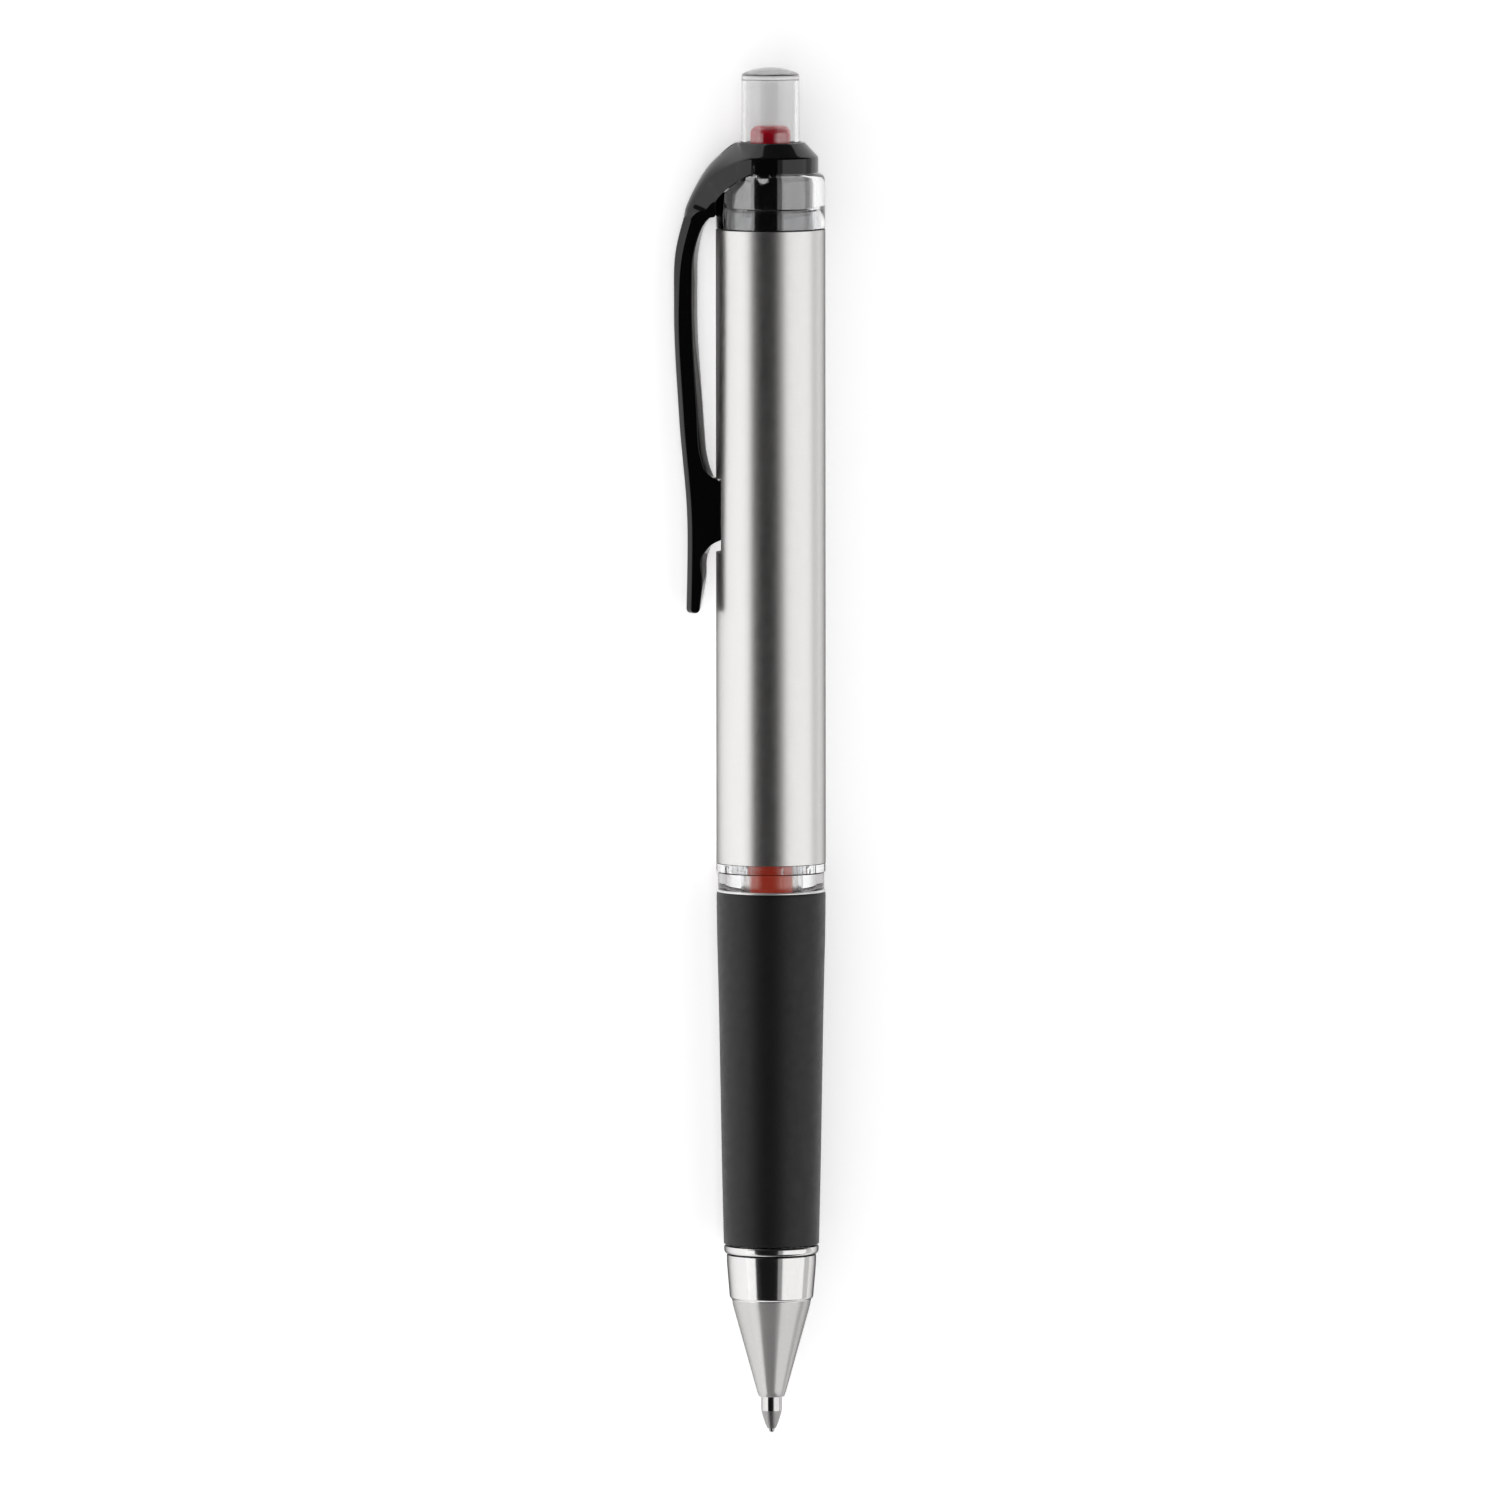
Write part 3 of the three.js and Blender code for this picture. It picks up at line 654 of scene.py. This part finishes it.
def make_button():
    start, end = span("push_button")
    radius, bore = 3.17, 2.7
    teeth = crown_teeth(end, 0.9, 2.0, 1)

    def warp(station, r, angle):
        station, r = teeth(station, r, angle)
        offset = (angle - math.pi / 4) % (2 * math.pi / SPLINES)
        offset = min(offset, 2 * math.pi / SPLINES - offset)
        if 22.6 <= station <= 25.65 and r > 3 and offset * radius < 0.62:
            r = 3.75
        return station, r

    button = turned("clear_button", rounded([
        (start, 0), (start + 0.05, 0.9, 0.4), (start + 0.25, 2.0, 0.5), (start + 0.62, 2.9, 0.25),
        (start + 0.82, radius - 0.06, 0.1),
        (start + 1.1, radius - 0.05, 0.1), (8, radius, 0), (22.5, radius, 0), (22.6, radius, 0),
        (25.6, radius, 0), (25.7, radius, 0), (end, radius),
        (end, bore), (start + 1.32, bore, 0.12), (start + 1.3, 0, 0),
    ]), BUTTON_PLASTIC, warp=warp)
    # The domed end gets the darker tint, a painted shade for the dark look of the thick dome.
    paint(button, start, start + 1.0, BUTTON_CAP_PAINTED_SHADE)
    belongs(button, "button", "clear_plastic", "push_button")


def make_rotor():
    start, end = span("cam_rotor")
    crown = 26.9
    teeth = crown_teeth(crown, 0.85, 0.5, -1)

    def warp(station, r, angle):
        if r > 2.9:
            station, r = teeth(station, r, angle)
        offset = (angle + math.pi / 4) % (2 * math.pi / SPLINES) - math.pi / 4
        if 28 <= station <= 31.2 and r > 2.5 and abs(offset * r) < 0.6:
            r = 3.2
        return station, r

    rotor = turned("red_rotor", rounded([
        (start, 0), (start, 1.7, 0.35), (start + 0.55, 2.18, 0.35), (crown, 2.15), (crown, 3.05),
        (27.95, 3.05, 0), (28, 3.05, 0), (29, 3.05, 0), (29.6, 2.6, 0), (31.2, 2.6, 0),
        (31.25, 2.6, 0), (end, 2.6), (end, 0),
    ]), RED_PLASTIC_PAINTED_GLOW, warp=warp)
    belongs(rotor, "rotor", "red_plastic", "cam_rotor")


make_button()
make_rotor()
frame["nodes"]["cam_guide"].data.materials.clear()
frame["nodes"]["cam_guide"].data.materials.append(GUIDE_PLASTIC)

# Front section, which unscrews

THREAD_LEAD = 2.0
LIP_START = 89.0  # a bright lip between the clear ring and the grip
GRIP_REAR_SHIFT, GRIP_FRONT_SHIFT = 0.38, 0.2  # from the CAD's edges, towards the button
NOSE_RING_SHIFT = 0.15
BAND_RISE = 0.4  # how far the nose's polished band reaches back over the ring


def make_front_barrel():
    start, end = span("front_barrel")
    ring_start, seat, bore, neck = RING_LINE + 0.08, 4.45, 3.3, 4.28
    thread_start, thread_end = start + 0.6, start + 6.6

    def thread(station, r, angle):
        if not (thread_start < station < thread_end and r > neck - 0.01):
            return station, r
        fade = min(1, (station - thread_start) / 0.5, (thread_end - station) / 0.5)
        wave = math.cos(2 * math.pi * (station / THREAD_LEAD + angle / (2 * math.pi)))
        return station, r + 0.26 * fade * max(0, wave - 0.35) / 0.65

    rows = [(thread_start + 0.1 * i, neck, 0) for i in range(61)]
    barrel = turned("clear_front_barrel", rounded([
        (start, bore), (start, neck, 0.15), *rows, (ring_start, neck), (ring_start, 5.76, 0.08),
        (LIP_START - 0.1, 5.76, 0.05), (LIP_START, 5.87, 0.04), (LIP_START + 0.16, 5.87, 0.05),
        (LIP_START + 0.16, seat), (127.3, seat),
        (127.3, 3.95), (end, 3.95), (end, bore),
    ]), CLEAR_PLASTIC, warp=thread)
    # The raised lip is given a silver metallic band. This band makes the bright line between the
    # clear ring and the grip.
    paint(barrel, LIP_START - 0.06, LIP_START + 0.25, LIP_METAL)
    belongs(barrel, "front", "clear_plastic", "front_barrel")


def make_grip():
    start, end = span("rubber_grip")
    start -= GRIP_REAR_SHIFT
    end -= GRIP_FRONT_SHIFT
    flank = [(94, 5.85), (100.4, 5.69), (110, 5.51), (120, 5.33), (126.9, 5.17)]
    outer = [(s, float(through(flank, s)), 0) for s in np.arange(94, 126.7, 1.0)]
    grip = turned("rubber_sleeve", rounded([
        (start, 4.7), (start, 5.85, 0.1), (start + 0.3, BODY_RADIUS - 0.01, 0.2), *outer,
        (end - 0.06, 5.16, 0.05), (end, 5.1, 0.03), (end, 4.7),
    ]), RUBBER)
    belongs(grip, "front", "grip_rubber", "rubber_grip")


def make_nose():
    start, end = span("nose_ring")
    start -= NOSE_RING_SHIFT
    end -= BAND_RISE
    ring = turned("polished_ring", rounded([
        (start, 4.2), (start, 5.04, 0.06), (start + 0.14, 5.13, 0.1), (start + 0.62, 5.1, 0.2),
        (end, 4.9, 0.1), (end, 4.2),
    ]), POLISHED_METAL)
    belongs(ring, "front", "polished_metal", "nose_ring")

    start, end = span("nose_cone")
    start -= BAND_RISE
    cone = turned("nose", rounded([
        (start, 4.2), (start, 4.83, 0.06), (start + 0.9, 4.83, 0.5), (133.22, 4.52, 0.1),
        (133.42, 4.3, 0.08), (134.2, 4.16, 0.3), (143.55, 1.56, 0.25), (end, 1.36, 0.12),
        (end, 1.25, 0.04), (142.5, 1.3), (137.4, 1.95), (137.4, 2.75), (136.6, 2.75), (135.2, 3.2),
        (133, 3.2), (133, 4.2),
    ]), POLISHED_METAL)
    paint(cone, 133.5, 145, CONE_METAL)
    belongs(cone, "front", "nose_metal", "nose_cone")


make_front_barrel()
make_grip()
make_nose()

# Refill and spring


def make_refill():
    start, end = span("refill_tube")
    radius, bore = 2.95, 2.35
    tube = turned("refill_tube_wall", rounded([
        (start, bore), (start, radius), (end, radius), (end, bore)]), TUBE_PLASTIC)
    belongs(tube, "refill", "refill_plastic", "refill_tube")

    start, end = span("ink_column")
    ink = turned("ink_thread", rounded([
        (start, 0), (start + 0.5, 1.6, 0.8), (start, bore - 0.02), (end, bore - 0.02),
        (end, 0)]), INK_PAINTED_GLOW)
    belongs(ink, "refill", "ink", "ink_column")

    start, end = span("ink_follower")
    grease = turned("follower_plug", rounded([
        (start, 0), (start, 1.8, 0.4), (start, bore - 0.05, 0.1), (end, bore - 0.05),
        (end + 0.2, 1.6, 0.6), (end + 0.2, 0)]), GREASE)
    belongs(grease, "refill", "follower_grease", "ink_follower")

    start, end = span("refill_end_plug")
    plug = turned("end_plug", rounded([
        (start, 0.5), (start, 2.7, 0.1), (start + 0.25, radius, 0.1), (start + 0.9, radius),
        (start + 0.9, bore - 0.1), (end, bore - 0.1), (end, 0.5)]), WHITE_PLASTIC)
    belongs(plug, "refill", "white_plastic", "refill_end_plug")

    start, end = span("tip_holder")
    holder = turned("point_holder", rounded([
        (start, 0.6), (start, bore - 0.1), (126.1, bore - 0.1), (126.1, radius),
        (127.4, radius, 0.2), (127.6, 1.7), (137.6, 1.7, 0.2), (end, 1.5), (end, 1.22),
        (136.2, 1.22), (136.2, 0.6),
    ]), WHITE_PLASTIC)
    belongs(holder, "refill", "white_plastic", "tip_holder")

    start, end = span("point_shell")
    ogive = [(145.6, 1.1), (146.1, 0.985), (146.6, 0.83), (147.1, 0.655), (end, 0.47)]
    shell = turned("point_tube", rounded([
        (start, 0.45), (start, 1.1, 0.1), (145.5, 1.1, 0.1),
        *[(s, float(through(ogive, s)), 0) for s in np.linspace(145.7, end, 12)],
        (end, 0.43, 0), (147, 0.43),
    ]), POINT_STEEL, sides=128)
    paint(shell, 145.62, 148, POINT_TIP_STEEL)
    belongs(shell, "refill", "point_steel", "point_shell")

    low, high = span("writing_ball")
    size = (high - low) / 2
    arc = [math.pi * i / 24 for i in range(25)]
    section = [(low + size - size * math.cos(a), size * math.sin(a) if 0 < i < 24 else 0)
               for i, a in enumerate(arc)]
    ball = turned("ball", section, BALL_METAL, sides=48)
    belongs(ball, "refill", "ball_metal", "writing_ball")


def make_spring():
    low, high = span("return_spring")
    radius, wire, pitch, around = 2.35, 0.22, 1.16, 12
    start, end = low + wire, high - wire
    steps = int(32 * (end - start) / pitch)
    points, faces = [], []
    for i in range(steps + 1):
        station = start + (end - start) * i / steps
        turn = 2 * math.pi * (station - start) / pitch
        for k in range(around):
            angle = 2 * math.pi * k / around
            reach = radius + wire * math.cos(angle)
            points.append((station + wire * math.sin(angle), reach * math.cos(turn),
                           reach * math.sin(turn)))
    for i in range(steps):
        for k in range(around):
            a, b = i * around + k, i * around + (k + 1) % around
            faces.append([a, b, b + around, a + around])
    faces.append(list(range(around)))
    faces.append(list(range(steps * around, (steps + 1) * around)))
    spring = piece("coil_spring", points, faces, SPRING_STEEL)
    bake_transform(spring)
    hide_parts("return_spring")


make_refill()
make_spring()

# Desk, light and background

# Angles in degrees round the pen from the camera's direction, positive away from the clip.
# Softboxes light glossy and clear surfaces only, fill lights matt surfaces and the desk only.
SOFTBOXES = {
    "right softbox": dict(inner=29, outer=95, radiance=1.08),
    "right softbox edge": dict(inner=17, outer=29, radiance=0.3),
    "right lower panel": dict(inner=95, outer=116, radiance=0.55),
    "left softbox": dict(inner=-42, outer=-72, radiance=1.08),
}
FILLS = {
    "left fill": dict(inner=-50, outer=15, radiance=1.55),
    "right fill": dict(inner=25, outer=82, radiance=0.55),
}
DESK_HALF = 6  # metres
DESK_DROP = 0.00002  # keeps the desk just clear of the pen
DESK_GLOW = 0.48
LIGHT_X = 0.45
LIGHT_DISTANCE = 1.2
LIGHT_LENGTH = 1.6
FILL_LENGTH = 2.4


def make_desk():
    mesh = bpy.data.meshes.new("desk")
    work = bmesh.new()
    bmesh.ops.create_grid(work, x_segments=8, y_segments=8, size=DESK_HALF)
    work.to_mesh(mesh)
    work.free()
    mesh.materials.append(finish("white desk", (0.93, 0.93, 0.93), 0.7, variation=0.004, grain=0.6,
                                 bump=0.0, Specular_IOR_Level=0.1,
                                 Emission_Color=(1, 1, 1, 1), Emission_Strength=DESK_GLOW))
    desk = bpy.data.objects.new("desk", mesh)
    scene.collection.objects.link(desk)
    desk.location.z = -DESK_DROP


def make_light(name, inner, outer, radiance, length, fill):
    """A long area light beside the pen, between two angles."""
    middle = math.radians((inner + outer) / 2) - ROLL
    width = 2 * LIGHT_DISTANCE * math.tan(math.radians(abs(outer - inner) / 2))
    data = bpy.data.lights.new(name, "AREA")
    data.shape = "RECTANGLE"
    data.size = length
    data.size_y = width
    data.energy = radiance * math.pi * length * width
    light = bpy.data.objects.new(name, data)
    scene.collection.objects.link(light)
    light.location = (LIGHT_X, LIGHT_DISTANCE * math.sin(middle),
                      AXIS_HEIGHT + LIGHT_DISTANCE * math.cos(middle))
    light.rotation_euler = (-middle, 0, 0)
    light.visible_camera = False
    light.visible_diffuse = fill
    light.visible_glossy = not fill
    light.visible_transmission = not fill


def make_world():
    """Dark overhead and pale beyond the desk."""
    world = bpy.data.worlds.new("studio")
    world.use_nodes = True
    scene.world = world
    tree = world.node_tree
    coordinates = tree.nodes.new("ShaderNodeTexCoord")
    split = tree.nodes.new("ShaderNodeSeparateXYZ")
    ramp = tree.nodes.new("ShaderNodeValToRGB")
    tree.links.new(coordinates.outputs["Generated"], split.inputs["Vector"])
    tree.links.new(split.outputs["Z"], ramp.inputs["Fac"])
    tree.links.new(ramp.outputs["Color"], tree.nodes["Background"].inputs["Color"])
    stops = ramp.color_ramp.elements
    stops[0].position, stops[0].color = 0.02, (0.12, 0.12, 0.12, 1)
    stops[1].position, stops[1].color = 0.6, (0.01, 0.01, 0.01, 1)
    middle = stops.new(0.3)
    middle.color = (0.06, 0.06, 0.06, 1)


make_desk()
for name, reach in SOFTBOXES.items():
    make_light(name, **reach, length=LIGHT_LENGTH, fill=False)
for name, reach in FILLS.items():
    make_light(name, **reach, length=FILL_LENGTH, fill=True)
make_world()
scene.view_settings.view_transform = "Standard"
